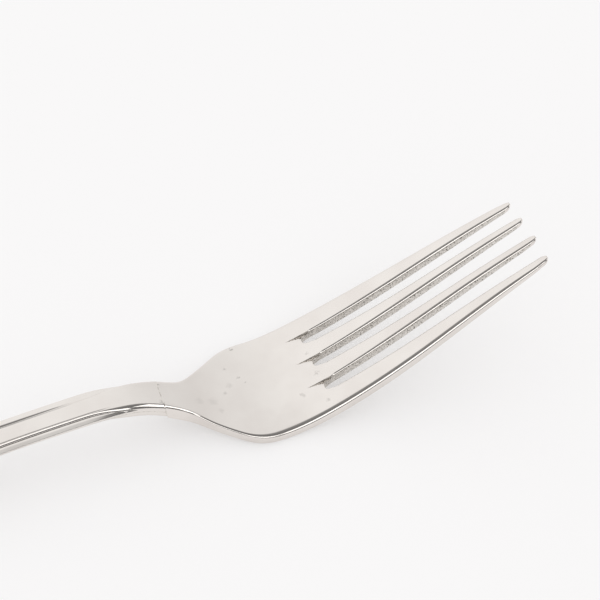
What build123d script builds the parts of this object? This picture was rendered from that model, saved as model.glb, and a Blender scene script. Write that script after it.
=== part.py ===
from build123d import *
import math
import os

# A dinner fork lying front up: a steel head whose tang is bedded in a hollow handle of two soldered shells.
# +X runs towards the tine tips, +Y to the fork's left and +Z up.
# The origin is on the table, under the middle.
# All sizes are millimetres. A size that ends in _at is a place along X, measured back from the tine tips,
# and one that ends in _from_seam or _from_end is measured from the neck's seam or the handle's end.

# Main lengths
overall_length = 205.0
head_length = 81.3
slot_depth = 48.1
tang_length = 45.0

# Side view: places and heights of the front face above the table
tip_height = 27.7
outer_tine_at = 12.5
outer_tine_height = 21.75
middle_tine_at = 28.5
middle_tine_height = 13.5
tine_root_at = 46.5
tine_root_height = 5.4
bowl_from_seam = 21.0
shoulder_from_seam = 13.3
shoulder_height = 3.15
neck_foot_from_seam = 7.3
neck_foot_height = 5.7
seam_height = 10.15
bend_from_seam = 6.2
bend_height = 12.1
crest_from_seam = 13.2
crest_height = 12.55
throat_from_seam = 35.2
throat_height = 11.5
grip_from_end = 50.5
grip_height = 7.75
heel_from_end = 14.5
end_lift = 0.4

# Thicknesses, square to the front face
tip_thickness = 1.3
outer_tine_thickness = 2.0
bowl_thickness = 2.2
neck_thickness = 2.6
throat_thickness = 2.3
grip_thickness = 4.4
heel_thickness = 4.0
end_thickness = 2.6

# Depth of the small flats that the bowl and the heel stand on
rest_flat = 0.05

# Plan view: places and widths
tip_width = 18.1
outer_tip_drop = 0.5
head_width = 26.2
head_taper_at = 41.3
shoulder_top_from_seam = 17.0
shoulder_foot_from_seam = 4.1
shoulder_foot_width = 7.6
neck_start_from_seam = 38.7
neck_width = 6.9
handle_width = 21.0
handle_taper_from_end = 22.0

# Plan view: rounds at the corners of the outline
head_side_round = 330.0
shoulder_outer_round = 12.0
shoulder_inner_round = 12.0
neck_round = 150.0
handle_side_round = 120.0
handle_end_round = 9.0

# Slots between the tines, and the round groove that runs out of each slot's root into the bowl
root_pitch = 6.6
tip_pitch = 5.3
root_gap = 2.6
tip_gap = 3.7
tine_end_ease = 0.06
run_out_length = 3.8

# Round on all outer edges of the front and back
edge_round = 0.5

# Hollow handle
shell_wall = 0.5
solder_width = 0.2
tang_width = 4.2
tang_end_width = 2.8
tang_bed = 0.2

# Thread lines on the handle's front: distance of each groove from the border
outer_thread_inset = 0.95
inner_thread_inset = 1.65
thread_width = 0.3
thread_depth = 0.2
thread_end_from_seam = 14.7

# Room by which cutting shapes stand proud of what they cut
spare = 2.0

tip_x = overall_length / 2
end_x = -overall_length / 2
heel_x = end_x + heel_from_end
seam_x = tip_x - head_length
tang_x = seam_x - tang_length
tip_slope = (tip_height - outer_tine_height) / outer_tine_at
tip_taper = (head_width - tip_width) / 2 / head_taper_at
inner_end = tip_pitch - tip_gap
outer_end = tip_width / 2 - tip_taper * spare - tip_pitch - tip_gap / 2
shoulder_foot_x = seam_x + shoulder_foot_from_seam
shoulder_top_x = seam_x + shoulder_top_from_seam
shoulder_turn = math.atan2((head_width - shoulder_foot_width) / 2, shoulder_top_x - shoulder_foot_x)
shoulder_reach = shoulder_outer_round * math.tan(shoulder_turn / 2)
side_room = tip_x - head_taper_at - shoulder_top_x - shoulder_reach - spare
cut_width = max(head_width, handle_width) + spare
cut_height = tip_height + spare

# Side view stations from the handle's end to the tips: place, height of the front face, thickness.
# The last lies past the tips, so that the tines' ends can be cut round.
stations = [
    (end_x, end_thickness + end_lift, end_thickness),
    (heel_x, heel_thickness - rest_flat, heel_thickness),
    (end_x + grip_from_end, grip_height, grip_thickness),
    (seam_x - throat_from_seam, throat_height, throat_thickness),
    (seam_x - crest_from_seam, crest_height, neck_thickness),
    (seam_x - bend_from_seam, bend_height, neck_thickness),
    (seam_x, seam_height, neck_thickness),
    (seam_x + neck_foot_from_seam, neck_foot_height, bowl_thickness),
    (seam_x + shoulder_from_seam, shoulder_height, bowl_thickness),
    (seam_x + bowl_from_seam, bowl_thickness - rest_flat, bowl_thickness),
    (tip_x - tine_root_at, tine_root_height, bowl_thickness),
    (tip_x - middle_tine_at, middle_tine_height, bowl_thickness),
    (tip_x - outer_tine_at, outer_tine_height, outer_tine_thickness),
    (tip_x, tip_height, tip_thickness),
    (tip_x + spare, tip_height + tip_slope * spare, tip_thickness),
]


def level(share, shift):
    """Side view curve that lies share of the thickness, plus shift, below the front face."""
    front = Spline([(x, height) for x, height, _ in stations])
    points = []
    for x, height, thickness in stations:
        tangent = front.tangent_at(front.param_at_point((x, height)))
        normal = Vector(-tangent.Y, tangent.X)
        points.append(Vector(x, height) - normal * (share * thickness + shift))
    return Spline(points)


def layer(upper, lower):
    """Sheet between two side view curves, across the whole width. Each curve is a (share, shift) pair."""
    top = level(*upper)
    bottom = level(*lower)
    ends = [Line(top @ 0, bottom @ 0), Line(top @ 1, bottom @ 1)]
    face = make_face(Curve() + [top, bottom] + ends)
    return extrude(Plane.XZ.offset(-cut_width / 2) * face, amount=cut_width)


def between(low_x, high_x):
    """Block that keeps the stretch of the fork from low_x to high_x."""
    length = high_x - low_x
    return Pos(low_x + length / 2, 0, 0) * Box(length, cut_width, 2 * cut_height)


def upright(face):
    """Plan view face raised through the whole height."""
    return extrude(Pos(0, 0, -spare) * face, amount=cut_height + 2 * spare)


def outline(inset):
    """Plan view face of the whole fork, with its border moved in by inset."""
    handle_half = handle_width / 2 - inset
    corners = [
        (end_x + inset, 0),
        (end_x + inset, handle_half),
        (end_x + handle_taper_from_end, handle_half),
        (seam_x - neck_start_from_seam, neck_width / 2 - inset),
        (shoulder_foot_x, shoulder_foot_width / 2 - inset),
        (shoulder_top_x, head_width / 2 - inset),
        (tip_x - head_taper_at, head_width / 2 - inset),
        (tip_x + spare, tip_width / 2 - tip_taper * spare - inset),
    ]
    rounds = [
        min(handle_end_round, handle_half - spare / 2),
        handle_side_round,
        neck_round,
        shoulder_inner_round,
        shoulder_outer_round,
        min(head_side_round, side_room / math.tan(math.atan(tip_taper) / 2)),
    ]
    left = FilletPolyline(corners, radius=rounds)
    right = mirror(left, about=Plane.XZ)
    tips = Line(left @ 1, right @ 1)
    return make_face(Curve() + [left, tips, right])


def slot(side):
    """Plan view face of one slot: side is 1, 0 or -1, from the fork's left to its right."""
    root_r = root_gap / 2
    far_r = tip_gap / 2
    root = Vector(tip_x - slot_depth + root_r, side * root_pitch)
    far = Vector(tip_x + 2 * spare, side * tip_pitch)
    axis = far - root
    turn = math.degrees(math.asin((far_r - root_r) / axis.length))
    square = axis.normalized().rotate(Axis.Z, 90)
    upper = square.rotate(Axis.Z, turn)
    lower = (square * -1).rotate(Axis.Z, -turn)
    sides = [
        Line(root + upper * root_r, far + upper * far_r),
        Line(far + upper * far_r, far + lower * far_r),
        Line(far + lower * far_r, root + lower * root_r),
        ThreePointArc(root + lower * root_r, root - axis.normalized() * root_r, root + upper * root_r),
    ]
    return make_face(Curve() + sides)


def tine_end(low_y, high_y, end):
    """What rounding takes off the end of a tine that lies between low_y and high_y, and reaches to end."""
    half = (high_y - low_y) / 2 + tine_end_ease
    corner = Rectangle(half + 2 * spare, 2 * half + tip_gap / 2, align=(Align.MIN, Align.CENTER))
    return upright(Pos(end - half, (low_y + high_y) / 2) * (corner - Circle(half)))


def run_out(side):
    """Level rod whose underside leaves a tapering groove where the bowl rises to the root of one slot."""
    rod_r = root_gap / 2
    start_x = tip_x - slot_depth - run_out_length
    start = level(0, 0).find_intersection_points(Axis((start_x, 0, 0), (0, 1, 0)))[0]
    rod = Cylinder(rod_r, run_out_length + spare + rod_r, align=(Align.CENTER, Align.CENTER, Align.MIN))
    return Pos(start_x - spare, side * root_pitch, start.Y + rod_r) * Rot(0, 90, 0) * rod


def thread(inset):
    """One thread groove, which follows the handle's border from its neck round its end."""
    strip = outline(inset - thread_width / 2) - outline(inset + thread_width / 2)
    groove = upright(strip) & layer((0, -spare), (0, thread_depth))
    return groove & between(end_x, seam_x - thread_end_from_seam)


# The fork's whole outer form, with the edges of its front and back rounded up to the tines' ends
plan = outline(0)
for side in (1, 0, -1):
    plan = plan - slot(side)
fork = upright(plan) & layer((0, 0), (1, 0))
faces = fork.faces().sort_by(SortBy.AREA)
border = faces[-1].edges() + faces[-2].edges()
border = border.filter_by_position(Axis.X, end_x, tip_x)
fork = fillet(border, min(edge_round, 0.45 * min(tip_thickness, inner_end, outer_end)))
inner_tine = (tip_gap / 2, tip_pitch - tip_gap / 2)
outer_tine = (tip_pitch + tip_gap / 2, tip_width / 2)
for low_y, high_y, end in ((*inner_tine, tip_x), (*outer_tine, tip_x - outer_tip_drop)):
    fork = fork - tine_end(low_y, high_y, end)
    fork = fork - tine_end(-high_y, -low_y, end)
table = Pos(0, 0, -cut_height) * Box(overall_length, cut_width, 2 * cut_height)
fork = fork - table

# Hollow of the handle, and the tang that lies in it
low_seam_x = seam_x - solder_width / 2
high_seam_x = seam_x + solder_width / 2
hollow = upright(outline(shell_wall)) & layer((0, shell_wall), (1, -shell_wall))
hollow = hollow & between(end_x, high_seam_x)
tang_thickness = min(neck_thickness, throat_thickness) - 2 * (shell_wall + tang_bed)
tang_plan = make_face(Polyline(
    (tang_x, -tang_end_width / 2),
    (seam_x + spare, -tang_width / 2),
    (seam_x + spare, tang_width / 2),
    (tang_x, tang_end_width / 2),
    close=True,
))
tang = upright(tang_plan) & layer((0.5, -tang_thickness / 2), (0.5, tang_thickness / 2))

# Head: four tines, bowl, shoulders and neck, with the tang
fork_head = fork & between(high_seam_x, tip_x)
for side in (1, 0, -1):
    fork_head = fork_head - run_out(side)
fork_head = fork_head + tang

# Handle: two shells, the solder between them and the core
wall = fork & between(end_x, low_seam_x)
wall = wall - hollow
front_shell = wall & layer((0, -spare), (0.5, -solder_width / 2))
for inset in (outer_thread_inset, inner_thread_inset):
    front_shell = front_shell - thread(inset)
back_shell = wall & layer((0.5, solder_width / 2), (1, spare))
side_seam = wall & layer((0.5, -solder_width / 2), (0.5, solder_width / 2))
neck_seam = fork & between(low_seam_x, high_seam_x)
neck_seam = neck_seam - hollow
filler = hollow - tang

nodes = {
    "fork_head": fork_head,
    "handle_front_shell": front_shell,
    "handle_back_shell": back_shell,
    "handle_filler": filler,
    "neck_solder_seam": neck_seam,
    "side_solder_seam": side_seam,
}
os.makedirs("parts", exist_ok=True)
for name, piece in nodes.items():
    export_step(piece, f"parts/{name}.step")
    print(name, round(piece.volume, 1), "cubic mm")
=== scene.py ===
import math
import bpy
import numpy as np
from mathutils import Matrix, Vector


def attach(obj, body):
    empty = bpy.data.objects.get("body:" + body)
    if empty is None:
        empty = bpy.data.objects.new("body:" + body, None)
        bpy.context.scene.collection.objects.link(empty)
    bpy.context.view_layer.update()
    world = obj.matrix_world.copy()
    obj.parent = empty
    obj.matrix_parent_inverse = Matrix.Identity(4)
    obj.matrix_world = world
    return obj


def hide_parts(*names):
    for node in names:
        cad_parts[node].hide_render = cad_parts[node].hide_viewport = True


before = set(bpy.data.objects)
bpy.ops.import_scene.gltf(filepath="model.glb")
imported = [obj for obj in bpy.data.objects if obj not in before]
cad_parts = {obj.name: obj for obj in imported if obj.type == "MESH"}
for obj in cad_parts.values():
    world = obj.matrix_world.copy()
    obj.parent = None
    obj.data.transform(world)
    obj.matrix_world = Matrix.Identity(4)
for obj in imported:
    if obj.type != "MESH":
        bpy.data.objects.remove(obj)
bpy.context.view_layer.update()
print("frame loaded:", ", ".join(sorted(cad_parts)))

mm = 0.001


# The fork's line from the side and from above, in mm. To meet the photo it leaves the solids' lines by up to
# about half a millimetre, and by 0.9 under the shoulder
forkLine = {
    "stations": [  # place along X, height of the front face, thickness square to it
        (-102.5, 3.0, 2.6), (-88.0, 3.95, 4.0), (-52.0, 7.75, 4.4), (-14.0, 11.5, 2.3), (8.0, 12.8, 2.6),
        (15.0, 12.5, 2.6), (21.2, 10.2, 2.6), (28.5, 5.2, 2.5), (34.5, 3.15, 2.4), (42.2, 2.15, 2.2),
        (56.0, 5.35, 2.4), (74.0, 13.4, 2.3), (90.0, 21.75, 2.0), (102.5, 27.7, 1.3),
    ],
    "corners": [  # place along X, half width, round of the corner
        (-102.5, 10.5, 0), (-80.5, 10.5, 120), (-15.0, 3.8, 150), (11.5, 3.84, 25), (15.5, 3.72, 25),
        (26.3, 4.55, 6), (38.2, 13.15, 12), (61.2, 13.15, 330), (104.5, 8.853, 0),
    ],
}


def smoothLine(places, values):  # natural cubic through the stations: gives value and slope at a place
    gaps = np.diff(places)
    rises = np.diff(values)
    system = np.eye(len(places))
    right = np.zeros(len(places))
    for i in range(1, len(places) - 1):
        system[i, i - 1:i + 2] = gaps[i - 1], 2 * (gaps[i - 1] + gaps[i]), gaps[i]
        right[i] = 6 * (rises[i] / gaps[i] - rises[i - 1] / gaps[i - 1])
    bend = np.linalg.solve(system, right)

    def at(place):
        i = int(np.clip(np.searchsorted(places, place) - 1, 0, len(gaps) - 1))
        gap = gaps[i]
        before = (places[i + 1] - place) / gap
        after = 1 - before
        bowed = (before**3 - before) * bend[i] + (after**3 - after) * bend[i + 1]
        turned = (3 * after * after - 1) * bend[i + 1] - (3 * before * before - 1) * bend[i]
        value = before * values[i] + after * values[i + 1] + bowed * gap**2 / 6
        slope = rises[i] / gap + turned * gap / 6
        return value, slope
    return at


def roundedLine(corners):  # half width at a place, for straight runs with round corners between them
    places, halves, _ = zip(*corners)
    arcs = []
    for before, here, after in zip(corners, corners[1:], corners[2:]):
        run = (Vector(here[:2]) - Vector(before[:2])).normalized()
        away = (Vector(after[:2]) - Vector(here[:2])).normalized()
        turn = run.angle_signed(away)  # clockwise is positive
        reach = here[2] * math.tan(abs(turn) / 2)
        side = Vector((run.y, -run.x)) if turn > 0 else Vector((-run.y, run.x))
        start = Vector(here[:2]) - run * reach
        radius = here[2] if turn > 0 else -here[2]
        arcs.append((start.x, here[0] + away.x * reach, start + side * here[2], radius))

    def at(place):
        for low, high, centre, bow in arcs:
            if low < place < high:
                return centre.y + math.copysign(math.sqrt(bow * bow - (place - centre.x)**2), bow)
        return float(np.interp(place, places, halves))
    return at


stationPlaces, frontHeights, thicknesses = zip(*forkLine["stations"])
frontAt = smoothLine(stationPlaces, frontHeights)
thickAt = smoothLine(stationPlaces, thicknesses)
halfWidth = roundedLine(forkLine["corners"])


def upright(place):  # how much longer a plumb line through the sheet is than its thickness
    return math.hypot(1, frontAt(place)[1])


def backAt(place):
    return max(0.0, frontAt(place)[0] - thickAt(place)[0] * upright(place))


# Small helpers for the modelling

def startFresh():
    if bpy.context.object and bpy.context.object.mode != "OBJECT":
        bpy.ops.object.mode_set(mode="OBJECT")
    bpy.ops.object.select_all(action="DESELECT")


def pickOnly(piece):
    startFresh()
    bpy.context.view_layer.objects.active = piece
    piece.select_set(True)


def editPiece(piece, kind, tool, **settings):  # one edit mode tool on what is selected
    pickOnly(piece)
    bpy.ops.object.mode_set(mode="EDIT")
    bpy.ops.mesh.select_mode(type=kind)
    tool(**settings)
    bpy.ops.object.mode_set(mode="OBJECT")


def clearPicked(mesh):
    for part in (mesh.polygons, mesh.edges, mesh.vertices):
        part.foreach_set("select", [False] * len(part))


def finishWith(piece, kind, **settings):  # adds a modifier and applies it
    pickOnly(piece)
    modifier = piece.modifiers.new(kind.title(), kind)
    for key, value in settings.items():
        setattr(modifier, key, value)
    bpy.ops.object.modifier_apply(modifier=modifier.name)


def combine(piece, other, operation):  # the other piece is used up
    finishWith(piece, "BOOLEAN", object=other, operation=operation, solver="EXACT")
    pickOnly(other)
    bpy.ops.object.delete()


def newGrid(name, rows, columns):  # a flat grid whose points are then moved: rows run along X
    startFresh()
    bpy.ops.mesh.primitive_grid_add(x_subdivisions=rows - 1, y_subdivisions=columns - 1, size=1)
    piece = bpy.context.object
    piece.name = name
    piece.data.name = name
    return piece


def movePoints(piece, points):  # points in mm, in the mesh's own order
    piece.data.vertices.foreach_set("co", (np.array(points, float) * mm).ravel())
    piece.data.update()


def faceUp(piece):
    normals = np.zeros(len(piece.data.polygons) * 3)
    piece.data.polygons.foreach_get("normal", normals)
    if normals[2::3].sum() < 0:
        piece.data.flip_normals()


def faceOutward(piece):
    editPiece(piece, "FACE", bpy.ops.mesh.select_all, action="SELECT")
    editPiece(piece, "FACE", bpy.ops.mesh.normals_make_consistent, inside=False)


def blendAt(place, low, high):  # 0 before low, 1 after high, smooth between
    share = min(1.0, max(0.0, (place - low) / (high - low)))
    return share * share * (3 - 2 * share)


# Materials

def hexColour(text):
    parts = [int(text[i:i + 2], 16) / 255 for i in (1, 3, 5)]
    return [*(c / 12.92 if c <= 0.04045 else ((c + 0.055) / 1.055)**2.4 for c in parts), 1.0]


def feed(tree, node, links):  # links outputs to a node's sockets
    for socket, source in links.items():
        tree.links.new(source, node.inputs[socket])


def addNode(tree, kind, settings=None, links=None):
    node = tree.nodes.new(kind)
    for key, value in (settings or {}).items():
        if isinstance(key, int) or key in node.inputs:
            node.inputs[key].default_value = value
        else:
            setattr(node, key, value)
    feed(tree, node, links or {})
    return node


def newMaterial(name, metallic=0.0):
    material = bpy.data.materials.new(name)
    material.use_nodes = True
    shader = material.node_tree.nodes["Principled BSDF"]
    shader.inputs["Metallic"].default_value = metallic
    return material, material.node_tree, shader


def inMillimetres(tree):  # the place on the fork, in mm
    place = addNode(tree, "ShaderNodeTexCoord")
    larger = {"operation": "SCALE", "Scale": 1000.0}
    return addNode(tree, "ShaderNodeVectorMath", larger, {0: place.outputs["Object"]})


def noise(tree, place, size, detail=3.0, stretch=(1, 1, 1)):  # size of the pattern in mm
    along = addNode(tree, "ShaderNodeMapping", {"Scale": tuple(1 / (size * s) for s in stretch)},
                    {"Vector": place.outputs[0]})
    return addNode(tree, "ShaderNodeTexNoise", {"Scale": 1.0, "Detail": detail}, {"Vector": along.outputs[0]})


def spread(tree, source, low, high, lowTo, highTo):  # maps one range of a value to another, clamped
    return addNode(tree, "ShaderNodeMapRange",
                   {"From Min": low, "From Max": high, "To Min": lowTo, "To Max": highTo}, {"Value": source})


def tinted(tree, share, first, second):  # a colour is hex text or another node's output
    mix = addNode(tree, "ShaderNodeMix", {"data_type": "RGBA"}, {0: share})
    for socket, colour in ((6, first), (7, second)):
        if isinstance(colour, str):
            mix.inputs[socket].default_value = hexColour(colour)
        else:
            feed(tree, mix, {socket: colour})
    return mix


wear = {  # what use has left on the steel, in mm
    "cloud": 9.0,
    "scratch": (0.12, 26),  # width, and how many times longer
    "ragged": (0.55, 1.8),  # grain of the marks' ragged edges, and how far they stray
    "marks": [  # place along and across, reach, darkness: small pits, nicks and dull spots on the front
        (39.9, 11.6, 0.5, 0.6), (36.75, 6.96, 0.5, 0.2), (34.8, 0.48, 0.5, 0.2), (39.76, 2.07, 0.35, 0.3),
        (38.8, 3.81, 0.35, 0.26), (36.25, 2.17, 1.0, 0.1), (31.6, -1.35, 1.3, 0.08), (32.7, -3.9, 0.9, 0.08),
        (28.8, -1.0, 1.2, 0.07), (49.7, -6.1, 0.7, 0.18), (53.8, -9.9, 0.6, 0.18), (54.1, -2.8, 0.7, 0.2),
        (54.2, 2.9, 0.6, 0.2), (21.5, 2.3, 0.45, 0.4), (20.95, -2.3, 0.5, 0.45),
    ],
}

# Stainless steel, mirror polished: a pale grey mirror with soft clouds from handling, hairline scratches that
# run along the fork, and a few small pits and dull spots
polishedSteel, tree, shader = newMaterial("polishedStainlessSteel", metallic=1.0)
place = inMillimetres(tree)
cloud = noise(tree, place, wear["cloud"], 4.0)
scratch = noise(tree, place, wear["scratch"][0], 2.0, (wear["scratch"][1], 1, 1))
raggedGrain, stray = wear["ragged"]
ragged = noise(tree, place, raggedGrain, 3.0)
shift = addNode(tree, "ShaderNodeVectorMath", {"operation": "SCALE", "Scale": stray},
                {0: ragged.outputs["Color"]})
strayed = addNode(tree, "ShaderNodeVectorMath", {"operation": "ADD"},
                  {0: place.outputs[0], 1: shift.outputs[0]})
marked = None
for along, across, reach, dark in wear["marks"]:
    # on average the straying moves the pattern by half its size
    spot = Vector((along, across, frontAt(along)[0])) + Vector((stray, stray, stray)) / 2
    away = addNode(tree, "ShaderNodeVectorMath", {"operation": "DISTANCE", 1: spot}, {0: strayed.outputs[0]})
    mark = spread(tree, away.outputs["Value"], 0.25 * reach, reach, dark, 0.0)
    if marked:
        mark = addNode(tree, "ShaderNodeMath", {"operation": "MAXIMUM"},
                       {0: marked.outputs[0], 1: mark.outputs[0]})
    marked = mark
clouded = spread(tree, cloud.outputs["Fac"], 0.35, 0.65, 0.0, 1.0)
pale = tinted(tree, clouded.outputs[0], "#E8E3DE", "#E3DDD8")
steel = tinted(tree, marked.outputs[0], pale.outputs[2], "#4A463F")
dulled = spread(tree, cloud.outputs["Fac"], 0.35, 0.7, 0.07, 0.14)
scratched = addNode(tree, "ShaderNodeMath", {"operation": "MULTIPLY_ADD", 1: 0.05},
                    {0: scratch.outputs["Fac"], 2: dulled.outputs[0]})
rough = addNode(tree, "ShaderNodeMath", {"operation": "MULTIPLY_ADD", 1: 0.35},
                {0: marked.outputs[0], 2: scratched.outputs[0]})
hairlines = addNode(tree, "ShaderNodeBump", {"Strength": 0.03, "Distance": 0.00001},
                    {"Height": scratch.outputs["Fac"]})
feed(tree, shader, {"Base Color": steel.outputs[2], "Roughness": rough.outputs[0],
                    "Normal": hairlines.outputs[0]})

# The same steel where the slots were cut out by a die: dull, grey, finely torn and dotted with dark pits
dieCutSteel, tree, shader = newMaterial("dieCutStainlessSteel", metallic=1.0)
place = inMillimetres(tree)
torn = noise(tree, place, 0.5, 4.0)
patchy = spread(tree, torn.outputs["Fac"], 0.35, 0.65, 0.0, 1.0)
grey = tinted(tree, patchy.outputs[0], "#E5E1DC", "#D4D0CA")
pits = noise(tree, place, 0.26, 0.0)
pitted = spread(tree, pits.outputs["Fac"], 0.65, 0.7, 0.0, 0.9)
cutFace = tinted(tree, pitted.outputs[0], grey.outputs[2], "#5A564F")
dulled = spread(tree, torn.outputs["Fac"], 0.3, 0.7, 0.4, 0.6)
tearing = addNode(tree, "ShaderNodeBump", {"Strength": 0.3, "Distance": 0.00005},
                  {"Height": torn.outputs["Fac"]})
feed(tree, shader, {"Base Color": cutFace.outputs[2], "Roughness": dulled.outputs[0],
                    "Normal": tearing.outputs[0]})

# Silver solder, filed flush and polished: close to the steel, a little duller, with small pores along it
silverSolder, tree, shader = newMaterial("filedSilverSolder", metallic=1.0)
place = inMillimetres(tree)
pores = noise(tree, place, 0.6, 3.0)
porous = spread(tree, pores.outputs["Fac"], 0.5, 0.68, 0.0, 0.6)
filed = tinted(tree, porous.outputs[0], "#DED9D2", "#8F8A81")
dulled = spread(tree, pores.outputs["Fac"], 0.4, 0.7, 0.14, 0.35)
feed(tree, shader, {"Base Color": filed.outputs[2], "Roughness": dulled.outputs[0]})

# Filled resin, cast into the handle: opaque, grainy and matt
castResin, tree, shader = newMaterial("castFilledResin")
place = inMillimetres(tree)
grains = noise(tree, place, 0.7, 4.0)
mottled = tinted(tree, grains.outputs["Fac"], "#CFC6B6", "#B3A894")
dulled = spread(tree, grains.outputs["Fac"], 0.3, 0.7, 0.6, 0.8)
grainy = addNode(tree, "ShaderNodeBump", {"Strength": 0.2, "Distance": 0.0001},
                 {"Height": grains.outputs["Fac"]})
feed(tree, shader, {"Base Color": mottled.outputs[2], "Roughness": dulled.outputs[0],
                    "Normal": grainy.outputs[0]})

print("materials ready")


# Head: a flat blank of four tines, bowl and neck, bent to the side view, thickened and rounded at its edges

head = {
    "rearX": 21.3,
    "slotRootX": 54.4,
    "slotRound": 1.3,
    "slotSquareness": 3,  # of a slot's end, where 2 is a half circle
    "slotPitch": (6.6, 5.3),  # at the roots and 4 mm past the tips
    "slotHalf": (1.3, 1.85),
    "slotFarX": 106.5,
    "tineEnds": (102.0, 102.5, 102.5, 102.4),  # from the fork's right to its left
    "tineLean": (-0.3, 0.0, 0.3, 0.0),  # two of them are bent a little out of line by use
    "tipLength": 2.6,  # the even rows stop this many half widths before the tine's end
    # rounding of the outer border along X
    "borderRound": [(21.3, 0.72), (27, 0.7), (31, 0.4), (36, 0.4), (41, 0.95), (49, 1.0), (80, 0.9)],
    "slotEdgeRound": (0.14, 0.75),  # at the slots' roots and along the tines
    "slotEdgeFade": (57, 70),  # where the first turns into the second
    "tipRound": 0.42,
    "tipFade": (88, 100),
    "backRound": 0.35,
    "hold": 0.35,  # the face stays flat to this far from a round
    "mostHold": 0.36,  # of a tine's width
    "neckSlant": (0.66, 0.2),  # at the neck the sides lean: front edge in by this much, back edge out
    "slantFade": (22.5, 31),
    "cutX": (54.1, 101.0),  # the slots' walls keep the die's cut between these
    "border": 0.6,  # nothing this near the outer edge belongs to a slot
}
slotStartX = head["slotRootX"] + head["slotRound"]
lastX = stationPlaces[-1]  # the front's line stops here
hair = 0.01  # mm: closer than this counts as the same place
rootAngles = (-60, -30, 0, 30, 60)  # of the points round a slot's end, in degrees


def borderRound(x):
    return float(np.interp(x, *zip(*head["borderRound"])))


def leaning(x):  # 1 at the neck, where the sides lean as the handle's do, 0 from the shoulders on
    return 1 - blendAt(x, *head["slantFade"])


def slotEdge(slot, side, x):  # slot -1, 0 or 1; side -1 or 1
    share = (x - slotStartX) / (head["slotFarX"] - slotStartX)
    pitch = np.interp(share, (0, 1), head["slotPitch"])
    return slot * pitch + side * np.interp(share, (0, 1), head["slotHalf"])


def slotRounding(x):
    along = blendAt(x, *head["slotEdgeFade"])
    return head["slotEdgeRound"][0] * (1 - along) + head["slotEdgeRound"][1] * along


def towardsTip(x, rounding):  # every edge is finer at the tips
    tip = blendAt(x, *head["tipFade"])
    return rounding * (1 - tip) + head["tipRound"] * tip


def borderHold(x):  # how far in from the border the face is flat
    return borderRound(x) + head["hold"] + head["neckSlant"][0] * leaning(x)


def tineColumns(tine, x):  # five points across a tine: edge, hold, middle, hold, edge
    low = -halfWidth(x) if tine == 0 else slotEdge(tine - 2, 1, x)
    high = halfWidth(x) if tine == 3 else slotEdge(tine - 1, -1, x)
    holds = [borderHold(x) if tine == 0 else slotRounding(x) + head["hold"],
             borderHold(x) if tine == 3 else slotRounding(x) + head["hold"]]
    holds = [min(towardsTip(x, hold), head["mostHold"] * (high - low)) for hold in holds]
    return [low, low + holds[0], (low + high) / 2, high - holds[1], high]


def headColumns(x):  # the points across the blank at the slots' roots or further out
    ys = []
    for tine in range(4):
        ys += tineColumns(tine, x)
        if tine < 3:
            gapMiddle = (ys[-1] + slotEdge(tine - 1, 1, x)) / 2
            gapHalf = gapMiddle - ys[-1]
            ys += [gapMiddle + gapHalf * math.sin(math.radians(angle)) for angle in rootAngles]
    return ys


rootColumns = headColumns(slotStartX)  # five for each tine, and five for each slot between
slotBulge = [0] * len(rootColumns)  # how far each column's root point lies back on the slot's round end
square = head["slotSquareness"]
for slot in range(3):
    for step, angle in enumerate(rootAngles):
        across = abs(math.sin(math.radians(angle)))
        slotBulge[5 + 10 * slot + step] = head["slotRound"] * (1 - across**square)**(1 / square)
bowlRows = [*np.linspace(head["rearX"], 48.6, 22), 49.7, 50.6, 51.4, 52.2, 53.0, 53.7]  # closer at the slots
tineRows = np.linspace(0.03, 1, 18)  # shares of the way from the slots' roots to the tips
# Rows at a tine's end, in half widths: how far back from the end, and how wide
tipRows = [(1.7, 1.0), (0.85, 0.985), (0.3, 0.7), (0.0, 0.28)]


def bowlPoint(column, x):  # the border and its hold keep their distance, the rest spreads with the width
    inner = halfWidth(x) - borderHold(x)
    if column in (0, len(rootColumns) - 1):
        return math.copysign(halfWidth(x), rootColumns[column])
    return rootColumns[column] / rootColumns[-2] * inner


points = []
for column, rootY in enumerate(rootColumns):
    tine = column // 10 if column % 10 < 5 else None
    line = [(x, bowlPoint(column, x)) for x in bowlRows]
    line.append((slotStartX - slotBulge[column], rootY))
    if tine is None:  # these lie in the slot and go
        line += [(slotStartX + 3 * i, rootY) for i in range(1, len(tineRows) + len(tipRows) + 1)]
    else:
        end = head["tineEnds"][tine]
        across = tineColumns(tine, end)
        half = (across[4] - across[0]) / 2
        for share in tineRows:
            x = slotStartX + (end - head["tipLength"] * half - slotStartX) * share
            line.append((x, headColumns(x)[column] + head["tineLean"][tine] * share**2))
        for back, narrow in tipRows:
            y = across[2] + (across[column % 10] - across[2]) * narrow + head["tineLean"][tine]
            line.append((end - back * half, y))
    points += [(x, y, frontAt(min(x, lastX))[0]) for x, y in line]

forkHead = newGrid("forkHead", len(bowlRows) + 1 + len(tineRows) + len(tipRows), len(rootColumns))
movePoints(forkHead, points)
clearPicked(forkHead.data)
for face in forkHead.data.polygons:  # the slots are cut out of the blank
    columns = {v // (len(points) // len(rootColumns)) % 10 for v in face.vertices}
    farthest = max(forkHead.data.vertices[v].co.x for v in face.vertices) / mm
    face.select = max(columns) > 4 and farthest > slotStartX + hair
editPiece(forkHead, "FACE", bpy.ops.mesh.delete, type="FACE")
faceUp(forkHead)

top = len(forkHead.data.vertices)
finishWith(forkHead, "SOLIDIFY", thickness=2 * mm, offset=-1, use_even_offset=False)
for vertex in forkHead.data.vertices[top:]:  # the back lies the thickness below the front
    front = forkHead.data.vertices[vertex.index - top]
    x, y, z = front.co / mm
    lean = leaning(x) if abs(y) > halfWidth(x) - hair else 0
    front.co = Vector((x, y - math.copysign(head["neckSlant"][0] * lean, y), z)) * mm
    vertex.co = Vector((x, y + math.copysign(head["neckSlant"][1] * lean, y), backAt(x))) * mm

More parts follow.
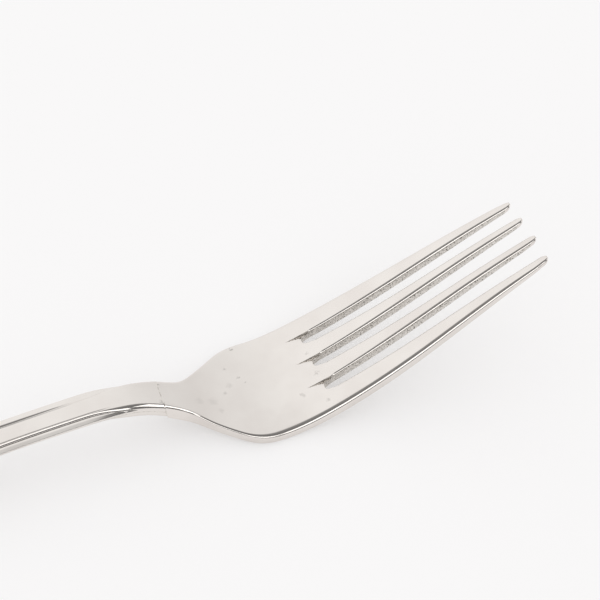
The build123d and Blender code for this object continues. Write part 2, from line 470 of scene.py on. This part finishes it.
weights = forkHead.data.attributes.new("bevel_weight_edge", "FLOAT", "EDGE")
rims = set()
for face in forkHead.data.polygons:
    if len({v < top for v in face.vertices}) == 2:
        rims.update(tuple(sorted(ends)) for ends in face.edge_keys if (ends[0] < top) == (ends[1] < top))
for edge in forkHead.data.edges:
    key = tuple(sorted(edge.vertices))
    firstX, secondX = (forkHead.data.vertices[v].co.x / mm for v in key)
    if key in rims and max(firstX, secondX) > head["rearX"] + hair:
        x = (firstX + secondX) / 2
        y = sum(forkHead.data.vertices[v].co.y for v in key) / 2 / mm
        atSlot = x > head["cutX"][0] and abs(y) < halfWidth(x) - head["border"]
        rounding = slotRounding(x) if atSlot else borderRound(x)
        rounding = rounding if key[0] < top else head["backRound"]
        weights.data[edge.index].value = towardsTip(x, rounding)
finishWith(forkHead, "BEVEL", limit_method="WEIGHT", width=1 * mm, segments=3, use_clamp_overlap=False)

forkHead.data.materials.append(polishedSteel)
forkHead.data.materials.append(dieCutSteel)
for face in forkHead.data.polygons:  # the slots' walls keep the die's cut
    x, y, _ = face.center / mm
    inside = abs(y) < halfWidth(x) - head["border"] and head["cutX"][0] < x < head["cutX"][1]
    face.material_index = 1 if inside and abs(face.normal.z) < 0.5 and abs(face.normal.x) < 0.99 else 0
creases = forkHead.data.attributes.new("crease_edge", "FLOAT", "EDGE")
for edge in forkHead.data.edges:
    if max(forkHead.data.vertices[v].co.x for v in edge.vertices) < (head["rearX"] + hair) * mm:
        creases.data[edge.index].value = 1.0
finishWith(forkHead, "SUBSURF", levels=2, render_levels=2)

groove = {  # one runs out of each slot, steep on its left side and rising evenly to the right
    "startX": 51.2,
    "depth": 0.95,  # at the slot
    "overlap": 0.6,  # how far it reaches into the slot
    "beyond": 0.25,  # from the slot's edge out to the steep side
    "right": 1.4,  # from the slot's middle to where the slope ends
    "above": 0.1,  # how far over the face that is
    "cutterHeight": 4,
}
for slot in (-1, 0, 1):
    middle = slot * head["slotPitch"][0]
    deepX = slotStartX + groove["overlap"]
    steepSide = middle + head["slotRound"] + groove["beyond"]
    corners = [(groove["startX"], steepSide, frontAt(groove["startX"])[0]),
               (deepX, middle - groove["right"], frontAt(deepX)[0] + groove["above"]),
               (deepX, steepSide, frontAt(deepX)[0] - groove["depth"])]
    startFresh()
    bpy.ops.mesh.primitive_cylinder_add(vertices=3, radius=1, depth=2)
    cutter = bpy.context.object
    for vertex in cutter.data.vertices:
        corner = round(math.atan2(vertex.co.x, vertex.co.y) / (2 * math.pi / 3)) % 3
        x, y, z = corners[corner]
        vertex.co = Vector((x, y, z + (groove["cutterHeight"] if vertex.co.z > 0 else 0))) * mm
    cutter.data.materials.append(polishedSteel)
    cutter.data.materials.append(dieCutSteel)
    faceOutward(cutter)
    for face in cutter.data.polygons:
        face.material_index = 1 if face.normal.y > 0.9 else 0
    combine(forkHead, cutter, "DIFFERENCE")

tang = {
    "startX": 22.5,
    "endX": -23.8,
    "half": (2.1, 1.4),  # half width at its start and end
    "thick": 0.9,
    "rows": 30,
    "play": 0.03,  # how much larger its bed in the seam and the core is, all round
}


def tangBar(play):  # the flat bar behind the head, halfway through the handle's thickness
    bar = newGrid("tang", tang["rows"], 2)
    places = np.linspace(tang["startX"], tang["endX"] - play, tang["rows"])
    halves = np.linspace(*tang["half"], tang["rows"]) + play
    middles = [frontAt(x)[0] - thickAt(x)[0] / 2 * upright(x) for x in places]
    movePoints(bar, [(x, side * half, z) for side in (-1, 1) for x, half, z in zip(places, halves, middles)])
    finishWith(bar, "SOLIDIFY", thickness=(tang["thick"] + 2 * play) * mm, offset=0)
    faceOutward(bar)
    bar.data.materials.append(polishedSteel)
    return bar


combine(forkHead, tangBar(0), "UNION")
pickOnly(forkHead)
bpy.ops.object.shade_smooth_by_angle(angle=math.radians(40))
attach(forkHead, "root")
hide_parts("fork_head")
print("fork head:", len(forkHead.data.polygons), "faces")


# Handle: two pressed shells from the seam at the neck round the handle's end

handle = {
    "mouthX": 21.1,
    "endX": -102.5,
    "endRound": 9.0,
    "endHalf": 10.5,
    "straightRows": (-92.0, 42),  # how far back they go, and how many
    "squareX": 12,  # ahead of here the rows run square to the fork, as at the mouth
    "endRows": 10,
    "solder": 0.12,
    "wall": 0.4,
    "threadsFade": {1: (-10.0, 8.0), -1: (9.0, 13.0)},  # polished away sooner on the fork's left, side 1
    "neckBlend": (7.5, 14.5),  # where the bordered section turns into the neck's plain one
    "neckEdge": (1.45, 1.1, 65),  # at the neck: where the face ends, round of the edge, how far that turns
    "neckSide": (1.1, 0.68, 8),  # depths of the plain side's points, from and to, and how many
    "neckTurns": (60, 55, 49, 42, 34, 24, 12, 0),  # the edge's further points, in degrees
    "neckFace": (1.65, 2.1),  # places of the last points, in from the border
    "neckWidest": 2.0,  # level of the full width below the front
    "neckBack": 0.6,
    "gripWidest": 0.4,
    "gripBack": 3.2,  # the handle's back is crowned and starts to turn up this far in
    "backTurns": (0, 12, 24, 36, 48, 60, 72, 81, 90),
    "threads": [  # in from the border, depth below the face, depth where polished away
        (0.0, 0.62, 0.62), (0.0, 0.385, 0.385), (0.012, 0.355, 0.355), (0.12, 0.346, 0.346),
        (0.6, 0.306, 0.306), (1.14, 0.26, 0.26),  # sloped strip along the border
        (1.35, 0.31, 0.26), (1.56, 0.4, 0.265), (1.61, 0.375, 0.25),  # outer groove
        (1.665, 0.275, 0.2), (1.72, 0.175, 0.14), (1.765, 0.11, 0.09), (1.82, 0.055, 0.045),
        (1.865, 0.005, 0.01), (1.9, 0.0, 0.0), (1.95, 0.0, 0.0),  # bead
        (1.99, 0.0, 0.0), (2.07, 0.065, 0.0), (2.15, 0.0, 0.0),  # inner groove
    ],
}


def handleRows():  # border point, way in from it and middle point of each row
    rows = []
    step = 0.2  # mm each way, for the border's slope
    for x in np.linspace(handle["mouthX"], *handle["straightRows"]):
        slope = (halfWidth(x + step) - halfWidth(x - step)) / (2 * step)
        inward = Vector((0, -1)) if x > handle["squareX"] else Vector((slope, -1)).normalized()
        rows.append((Vector((x, halfWidth(x))), inward, Vector((x, 0))))
    pole = Vector((handle["endX"] + handle["endRound"], 0))
    turnCentre = Vector((pole.x, handle["endHalf"] - handle["endRound"]))
    for angle in np.radians(np.linspace(90, 180, handle["endRows"])):
        out = Vector((math.cos(angle), math.sin(angle)))
        rows.append((turnCentre + out * handle["endRound"], -out, pole))
    rows.append((Vector((handle["endX"], 0)), Vector((1, 0)), pole))
    return rows


def turnedIn(depth, start, end, reach):  # quarter of an ellipse
    share = min(1.0, max(0.0, (depth - start) / (end - start)))
    return reach * (1 - math.sqrt(1 - share * share))


def edgeInset(place, depth):  # how far inside the border the side lies at a depth below the front
    neck = blendAt(place, *handle["neckBlend"])
    thick = thickAt(place)[0]
    flat, edgeRound, turn = handle["neckEdge"]
    foot = flat - edgeRound * math.sin(math.radians(turn))
    level = edgeRound - edgeRound * math.cos(math.radians(turn))
    plain = foot * min(1.0, max(0.0, (handle["neckWidest"] - depth) / (handle["neckWidest"] - level)))
    plain += turnedIn(depth, thick - handle["neckBack"], thick, handle["neckBack"])
    return plain * neck + turnedIn(depth, handle["gripWidest"], thick, handle["gripBack"]) * (1 - neck)


def neckSection():  # distance in from the border and depth of the plain section, up from the side
    flat, edgeRound, firstTurn = handle["neckEdge"]
    side = [(edgeInset(handle["mouthX"], depth), depth) for depth in np.linspace(*handle["neckSide"])]
    turns = np.radians((firstTurn, *handle["neckTurns"]))
    edge = [(flat - edgeRound * math.sin(turn), edgeRound - edgeRound * math.cos(turn)) for turn in turns]
    return side + edge + [(inset, 0.0) for inset in handle["neckFace"]]


def frontSection(place, side):  # distance in from the border and depth, up from the parting line
    bordered = 1 - blendAt(place, *handle["neckBlend"])
    pressed = 1 - blendAt(place, *handle["threadsFade"][side])
    low = thickAt(place)[0] / 2 - handle["solder"] / 2
    section = [(edgeInset(place, low), low)]
    for (inset, depth), (threadInset, sharp, worn) in zip(neckSection(), handle["threads"]):
        threadDepth = worn + (sharp - worn) * pressed
        section.append((inset + (threadInset - inset) * bordered, depth + (threadDepth - depth) * bordered))
    return section


def backSection(place, side):  # the same on both sides
    thick = thickAt(place)[0]
    low = thick / 2 + handle["solder"] / 2
    depths = [low + (thick - low) * math.sin(turn) for turn in np.radians(handle["backTurns"])]
    return [(edgeInset(place, depth), depth) for depth in depths]


def handleShell(name, sectionAt):
    lines = []
    for border, inward, middle in handleRows():
        across = []
        for side in (1, -1):
            half = [(border + inward * inset, depth) for inset, depth in sectionAt(border.x, side)]
            last, lastDepth = half[-1]
            half += [(last.lerp(middle, share), lastDepth) for share in (0.33, 0.67, 1.0)]
            across.append([(point.x, side * point.y, max(0.0, frontAt(point.x)[0] - depth * upright(point.x)))
                           for point, depth in half])
        lines.append(across[0] + across[1][-2::-1])
    shell = newGrid(name, len(lines), len(lines[0]))
    movePoints(shell, [line[column] for column in range(len(lines[0])) for line in lines])
    editPiece(shell, "VERT", bpy.ops.mesh.select_all, action="SELECT")
    editPiece(shell, "VERT", bpy.ops.mesh.remove_doubles, threshold=0.002 * mm)
    editPiece(shell, "VERT", bpy.ops.mesh.normals_make_consistent, inside=False)
    return shell


handleFront = handleShell("handleFront", frontSection)
handleBack = handleShell("handleBack", backSection)
faceUp(handleFront)
faceUp(handleBack)
handleBack.data.flip_normals()
for shell, node in ((handleFront, "handle_front_shell"), (handleBack, "handle_back_shell")):
    finishWith(shell, "SUBSURF", levels=2, render_levels=2, boundary_smooth="PRESERVE_CORNERS")
    finishWith(shell, "SOLIDIFY", thickness=handle["wall"] * mm, offset=-1, use_even_offset=False)
    bpy.ops.object.shade_smooth_by_angle(angle=math.radians(50))
    shell.data.materials.append(polishedSteel)
    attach(shell, "root")
    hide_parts(node)
    print(shell.name + ":", len(shell.data.polygons), "faces")


# Side seam: the thin line of solder between the shells' rims, a hair below their faces

sideSeam = {"sunk": 0.004, "depth": 0.35}
band = []
for border, inward, _ in handleRows():
    half = thickAt(border.x)[0] / 2
    across = []
    for depth in (half - handle["solder"] / 2, half, half + handle["solder"] / 2):
        point = border + inward * (edgeInset(border.x, depth) + sideSeam["sunk"])
        across.append((point.x, point.y, frontAt(point.x)[0] - depth * upright(point.x)))
    band.append(across)
band += [[(x, -y, z) for x, y, z in across] for across in band[-2::-1]]
sideRing = newGrid("sideSeam", len(band), 3)
movePoints(sideRing, [across[column] for column in range(3) for across in band])
outward = sum(face.normal.y * face.center.y for face in sideRing.data.polygons)
if outward < 0:
    sideRing.data.flip_normals()
finishWith(sideRing, "SUBSURF", levels=2, render_levels=2, boundary_smooth="PRESERVE_CORNERS")
finishWith(sideRing, "SOLIDIFY", thickness=sideSeam["depth"] * mm, offset=-1, use_even_offset=False)
bpy.ops.object.shade_smooth_by_angle(angle=math.radians(50))
sideRing.data.materials.append(silverSolder)
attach(sideRing, "root")
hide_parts("side_solder_seam")
print("side seam:", len(sideRing.data.polygons), "faces")


# Neck seam: the thin ring of solder between the head and the shells' mouth

neckSeam = {"x": (21.1, 21.3), "sunk": 0.02}
startX, endX = neckSeam["x"]
place = (startX + endX) / 2
half = halfWidth(place)
halfThick = thickAt(place)[0] / 2
loop = [(-half + inset, depth) for inset, depth in frontSection(place, 1)]
loop += [(-y, depth) for y, depth in loop[::-1]]
under = [(half - inset, depth) for inset, depth in backSection(place, 1)]
loop += under + [(-y, depth) for y, depth in under[::-1]]
startFresh()
bpy.ops.mesh.primitive_circle_add(vertices=len(loop), radius=1 * mm, fill_type="NGON")
seamRing = bpy.context.object
seamRing.name = seamRing.data.name = "neckSeam"
narrowed = 1 - neckSeam["sunk"] / half
flattened = 1 - neckSeam["sunk"] / halfThick
middle = frontAt(place)[0] - halfThick * upright(place)
ring = []
for y, depth in loop:
    z = frontAt(place)[0] - depth * upright(place)
    ring.append((startX, y * narrowed, middle + (z - middle) * flattened))
movePoints(seamRing, ring)
seamRing.data.polygons[0].select = True
editPiece(seamRing, "FACE", bpy.ops.mesh.extrude_region_move,
          TRANSFORM_OT_translate={"value": ((endX - startX) * mm, 0, 0)})
faceOutward(seamRing)
combine(seamRing, tangBar(tang["play"]), "DIFFERENCE")
pickOnly(seamRing)
bpy.ops.object.shade_smooth_by_angle(angle=math.radians(50))
seamRing.data.materials.append(silverSolder)
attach(seamRing, "root")
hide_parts("neck_solder_seam")
print("neck seam:", len(seamRing.data.polygons), "faces")


# Core: the resin inside the shells, cast round the tang

core = {
    "gap": 0.5,  # to the outside of the shells
    "frontDepth": 0.85,  # below the front face
    "rim": 0.2,  # half width left where the section would close up
    "points": 6,  # up each side
}


def coreSection(place, lastDepth):
    thick = thickAt(place)[0]
    widest = halfWidth(max(place, handle["straightRows"][0])) - core["rim"]
    section = []
    for depth in np.linspace(thick / 2, lastDepth, core["points"]):
        inset = edgeInset(place, min(thick, depth + core["gap"])) + core["gap"]
        section.append((min(inset, widest), depth))
    return section


def coreFront(place, side):  # the same on both sides
    return coreSection(place, core["frontDepth"])


def coreBack(place, side):
    return coreSection(place, thickAt(place)[0] - core["gap"])


handleCore = handleShell("handleCore", coreFront)
coreUnder = handleShell("coreUnder", coreBack)
coreUnder.select_set(True)
handleCore.select_set(True)
bpy.context.view_layer.objects.active = handleCore
bpy.ops.object.join()
editPiece(handleCore, "VERT", bpy.ops.mesh.select_all, action="SELECT")
editPiece(handleCore, "VERT", bpy.ops.mesh.remove_doubles, threshold=0.005 * mm)
editPiece(handleCore, "EDGE", bpy.ops.mesh.select_all, action="SELECT")
editPiece(handleCore, "EDGE", bpy.ops.mesh.fill_holes, sides=0)
faceOutward(handleCore)
combine(handleCore, tangBar(tang["play"]), "DIFFERENCE")
handleCore.data.materials.clear()
handleCore.data.materials.append(castResin)
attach(handleCore, "root")
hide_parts("handle_filler")
print("core:", len(handleCore.data.polygons), "faces")


# Studio: a pale table, and for the steel to mirror a bright far side, a darker room overhead and behind the
# camera, lighter past the fork's ends, and two soft lights

studio = {
    "tableColour": "#F9F8F8",
    "tableShadow": 0.6,  # how much of the shadow shows
    "roomLight": 1.0,  # even light from all round, on the table and on matt parts
    "farSide": [  # what the steel mirrors, in degrees from the far table up and over to the near one
        (-2, 1.0), (58, 1.0), (62, 0.8), (67, 0.3), (100, 0.2), (182, 0.18),
    ],
    "leftBrighter": 0.17,  # towards the handle's end
    "ends": (0.68, 0.9, 0.7),  # the room past the fork's two ends is lighter: from and to, and how light
    "softboxes": [  # way to each, its width and height in m, and how bright it is in a mirror
        ((-0.12, -0.8, 0.59), 1.05, 0.85, 1.5), ((0.66, -0.42, 0.62), 1.1, 1.0, 1.6),
    ],
    "softboxDistance": 1.6,
    "softboxAim": (0.03, 0, 0),  # the place they face, in m
}
white = (1, 1, 1, 1)
startFresh()
bpy.ops.mesh.primitive_plane_add(size=3)
table = bpy.context.object
table.name = "table"
paleTable, tree, shader = newMaterial("paleTable")
shader.inputs["Base Color"].default_value = hexColour(studio["tableColour"])
shader.inputs["Roughness"].default_value = 0.9
shader.inputs["Specular IOR Level"].default_value = 0.0
path = addNode(tree, "ShaderNodeLightPath")
glow = addNode(tree, "ShaderNodeEmission", {"Color": hexColour(studio["tableColour"])})
seen = addNode(tree, "ShaderNodeMath", {"operation": "MAXIMUM"},
               {0: path.outputs["Is Camera Ray"], 1: path.outputs["Is Glossy Ray"]})
glowing = addNode(tree, "ShaderNodeMath", {"operation": "MULTIPLY", 1: 1 - studio["tableShadow"]},
                  {0: seen.outputs[0]})
surface = addNode(tree, "ShaderNodeMixShader", {},
                  {0: glowing.outputs[0], 1: shader.outputs[0], 2: glow.outputs[0]})
feed(tree, tree.nodes["Material Output"], {"Surface": surface.outputs[0]})
table.data.materials.append(paleTable)

world = bpy.data.worlds.new("studio")
world.use_nodes = True
bpy.context.scene.world = world
tree = world.node_tree
coordinates = addNode(tree, "ShaderNodeTexCoord")
way = addNode(tree, "ShaderNodeSeparateXYZ", {}, {"Vector": coordinates.outputs["Generated"]})
around = addNode(tree, "ShaderNodeMath", {"operation": "ARCTAN2"}, {0: way.outputs["Z"], 1: way.outputs["Y"]})
rampPlace = addNode(tree, "ShaderNodeMapRange", {"From Min": -math.pi, "From Max": math.pi},
                    {"Value": around.outputs[0]})
ramp = addNode(tree, "ShaderNodeValToRGB", {}, {"Fac": rampPlace.outputs[0]})
stops = ramp.color_ramp.elements
while len(stops) < len(studio["farSide"]):
    stops.new(0.5)
for stop, (degrees, light) in zip(stops, studio["farSide"]):
    stop.position = min(1.0, degrees / 360 + 0.5)
    stop.color = (light, light, light, 1)
leftward = addNode(tree, "ShaderNodeMath",
                   {"operation": "MULTIPLY_ADD", 1: -studio["leftBrighter"], 2: 1.0}, {0: way.outputs["X"]})
endsFrom, endsTo, endsLight = studio["ends"]
sideways = addNode(tree, "ShaderNodeMath", {"operation": "ABSOLUTE"}, {0: way.outputs["X"]})
pastEnds = spread(tree, sideways.outputs[0], endsFrom, endsTo, 0.0, endsLight)
room = addNode(tree, "ShaderNodeMath", {"operation": "MAXIMUM"},
               {0: ramp.outputs["Color"], 1: pastEnds.outputs[0]})
mirrored = tree.nodes["Background"]  # what the steel shows
feed(tree, mirrored, {"Color": room.outputs[0], "Strength": leftward.outputs[0]})
even = addNode(tree, "ShaderNodeBackground", {"Color": white, "Strength": studio["roomLight"]})
backdrop = addNode(tree, "ShaderNodeBackground", {"Color": white, "Strength": 1.0})
path = addNode(tree, "ShaderNodeLightPath")
lighting = addNode(tree, "ShaderNodeMixShader", {},
                   {0: path.outputs["Is Glossy Ray"], 1: even.outputs[0], 2: mirrored.outputs[0]})
shown = addNode(tree, "ShaderNodeMixShader", {},
                {0: path.outputs["Is Camera Ray"], 1: lighting.outputs[0], 2: backdrop.outputs[0]})
feed(tree, tree.nodes["World Output"], {"Surface": shown.outputs[0]})

for towards, width, height, light in studio["softboxes"]:
    towards = Vector(towards).normalized()
    startFresh()
    bpy.ops.object.light_add(type="AREA")
    lamp = bpy.context.object
    lamp.location = towards * studio["softboxDistance"] + Vector(studio["softboxAim"])
    lamp.name = "softbox"
    lamp.rotation_euler = (-towards).to_track_quat("-Z", "Y").to_euler()
    lamp.visible_diffuse = False  # a soft shine on the steel that leaves the table's shadow alone
    lamp.data.shape = "RECTANGLE"
    lamp.data.size = width
    lamp.data.size_y = height
    lamp.data.energy = light * math.pi * width * height
bpy.context.scene.view_settings.view_transform = "Standard"

camera = {
    "elevation": 48.0,
    "heading": 68.6,  # degrees round from +X
    "lens": 65.96,
    "sensor": 36,
    "distance": 243.7,  # to the target, in mm
    "target": (58.08, 16.94, 5.65),
}
tilt = math.radians(camera["elevation"])
heading = math.radians(camera["heading"])
sight = Vector((math.cos(tilt) * math.cos(heading), math.cos(tilt) * math.sin(heading), -math.sin(tilt)))
startFresh()
bpy.ops.object.camera_add()
photoCamera = bpy.context.object
photoCamera.name = "photoCamera"
photoCamera.location = (Vector(camera["target"]) - sight * camera["distance"]) * mm
photoCamera.rotation_euler = sight.to_track_quat("-Z", "Y").to_euler()
photoCamera.data.lens = camera["lens"]
photoCamera.data.sensor_width = camera["sensor"]
photoCamera.data.clip_start = 0.01
bpy.context.scene.camera = photoCamera
print("studio ready")
